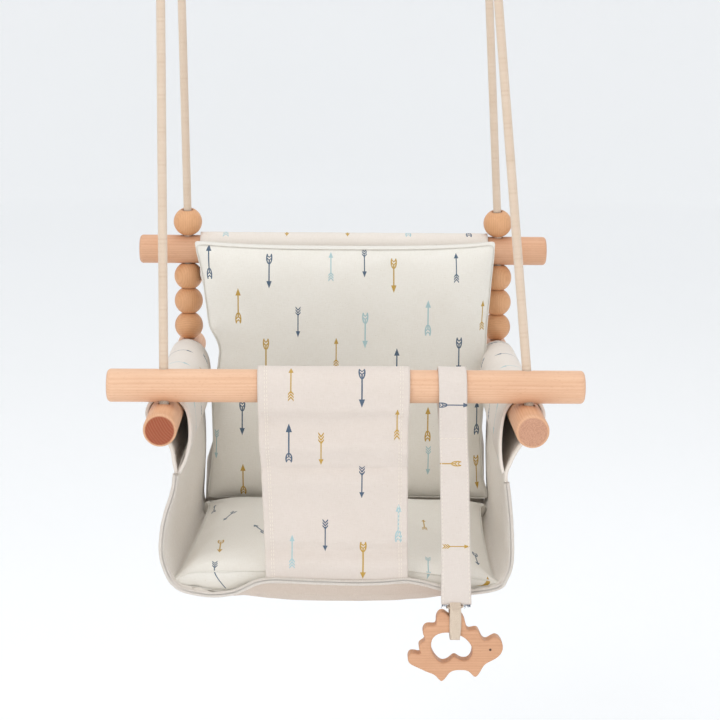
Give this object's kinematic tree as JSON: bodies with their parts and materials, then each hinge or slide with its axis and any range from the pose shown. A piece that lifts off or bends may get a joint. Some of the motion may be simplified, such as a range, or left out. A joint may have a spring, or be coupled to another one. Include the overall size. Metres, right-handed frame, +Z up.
{
  "type": "hanging baby swing seat",
  "caption": "Hanging baby swing: four beech rods and bead spacers on ropes, with a padded canvas seat, a crotch panel and a wooden teether on a strap.",
  "frame": {"origin": "on the hang axis through the two hang rings, straight above the empty seat's centre of gravity and on the seat's centre plane", "axes": "+Z up, +Y towards the backrest, +X to the right of a viewer who faces the seat's front"},
  "size_m": [0.402, 0.402, 1.0083],
  "materials": {
    "beech": "satin, clear oiled beech",
    "cotton_rope": "braided cotton, matt",
    "binding_thread": "waxed cotton whipping",
    "printed_canvas": "natural cotton canvas, printed with small arrows, matt",
    "piping_tape": "folded cotton tape, matt",
    "twill_ribbon": "cotton twill tape, matt",
    "snap_metal": "brushed snap fastener",
    "ring_steel": "welded steel ring, satin"
  },
  "bodies": {
    "hangers": {"left_hang_ring": "ring_steel", "right_hang_ring": "ring_steel"},
    "seat": {"back_bar": "beech", "left_side_rod": "beech", "right_side_rod": "beech", "front_left_rope": "cotton_rope", "front_right_rope": "cotton_rope", "back_left_rope": "cotton_rope", "back_right_rope": "cotton_rope", "front_left_knot": "cotton_rope", "front_right_knot": "cotton_rope", "back_left_knot": "cotton_rope", "back_right_knot": "cotton_rope", "front_left_rope_binding": "binding_thread", "front_right_rope_binding": "binding_thread", "back_left_rope_binding": "binding_thread", "back_right_rope_binding": "binding_thread", "seat_base": "printed_canvas", "left_side_panel": "printed_canvas", "right_side_panel": "printed_canvas", "back_panel": "printed_canvas", "rim_piping": "piping_tape", "crotch_panel": "printed_canvas", "crotch_snaps": "snap_metal", "seat_cushion": "printed_canvas", "back_cushion": "printed_canvas"},
    "front_bar": {"front_bar": "beech"},
    "left_top_bead": {"left_top_bead": "beech"},
    "right_top_bead": {"right_top_bead": "beech"},
    "toy_strap": {"toy_strap": "printed_canvas"},
    "toy_ribbon": {"toy_ribbon": "twill_ribbon"},
    "teether": {"teether": "beech"},
    "left_lower_spacer_bead": {"left_lower_spacer_bead": "beech"},
    "left_middle_spacer_bead": {"left_middle_spacer_bead": "beech"},
    "left_upper_spacer_bead": {"left_upper_spacer_bead": "beech"},
    "right_lower_spacer_bead": {"right_lower_spacer_bead": "beech"},
    "right_middle_spacer_bead": {"right_middle_spacer_bead": "beech"},
    "right_upper_spacer_bead": {"right_upper_spacer_bead": "beech"}
  },
  "joints": [
    {"name": "swing", "type": "hinge", "parent": "hangers", "child": "seat", "pos_m": [0, 0, 0], "axis": [1, 0, 0], "range_deg": [-30, 30]},
    {"name": "front_bar_lift", "type": "slide", "parent": "seat", "child": "front_bar", "axis": [-0.0467, 0.246, 0.9682], "range_m": [0, 0.012], "deforming": ["crotch_panel"]},
    {"name": "left_top_bead_slide", "type": "slide", "parent": "seat", "child": "left_top_bead", "axis": [-0.0053, -0.1871, 0.9823], "range_m": [0, 0.12]},
    {"name": "right_top_bead_slide", "type": "slide", "parent": "seat", "child": "right_top_bead", "axis": [-0.0736, -0.1866, 0.9797], "range_m": [0, 0.12]},
    {"name": "left_lower_spacer_spin", "type": "hinge", "parent": "seat", "child": "left_lower_spacer_bead", "pos_m": [-0.1535, 0.1262, -0.7134], "axis": [0, 0, 1], "continuous": true},
    {"name": "left_middle_spacer_spin", "type": "hinge", "parent": "seat", "child": "left_middle_spacer_bead", "pos_m": [-0.1535, 0.1262, -0.6885], "axis": [0, 0, 1], "continuous": true},
    {"name": "left_upper_spacer_spin", "type": "hinge", "parent": "seat", "child": "left_upper_spacer_bead", "pos_m": [-0.1535, 0.1262, -0.6636], "axis": [0, 0, 1], "continuous": true},
    {"name": "right_lower_spacer_spin", "type": "hinge", "parent": "seat", "child": "right_lower_spacer_bead", "pos_m": [0.1535, 0.1262, -0.7134], "axis": [0, 0, 1], "continuous": true},
    {"name": "right_middle_spacer_spin", "type": "hinge", "parent": "seat", "child": "right_middle_spacer_bead", "pos_m": [0.1535, 0.1262, -0.6885], "axis": [0, 0, 1], "continuous": true},
    {"name": "right_upper_spacer_spin", "type": "hinge", "parent": "seat", "child": "right_upper_spacer_bead", "pos_m": [0.1535, 0.1262, -0.6636], "axis": [0, 0, 1], "continuous": true},
    {"name": "toy_strap_swing", "type": "hinge", "parent": "front_bar", "child": "toy_strap", "pos_m": [0.0883, -0.1808, -0.7117], "axis": [1, 0, 0], "range_deg": [-70, 0]},
    {"name": "ribbon_fold", "type": "hinge", "parent": "toy_strap", "child": "toy_ribbon", "pos_m": [0.0953, -0.1808, -0.9], "axis": [1, 0, 0], "range_deg": [-60, 5]},
    {"name": "teether_sway", "type": "hinge", "parent": "toy_ribbon", "child": "teether", "pos_m": [0.0953, -0.1808, -0.9285], "axis": [0, 1, 0], "range_deg": [-10, 10]}
  ]
}
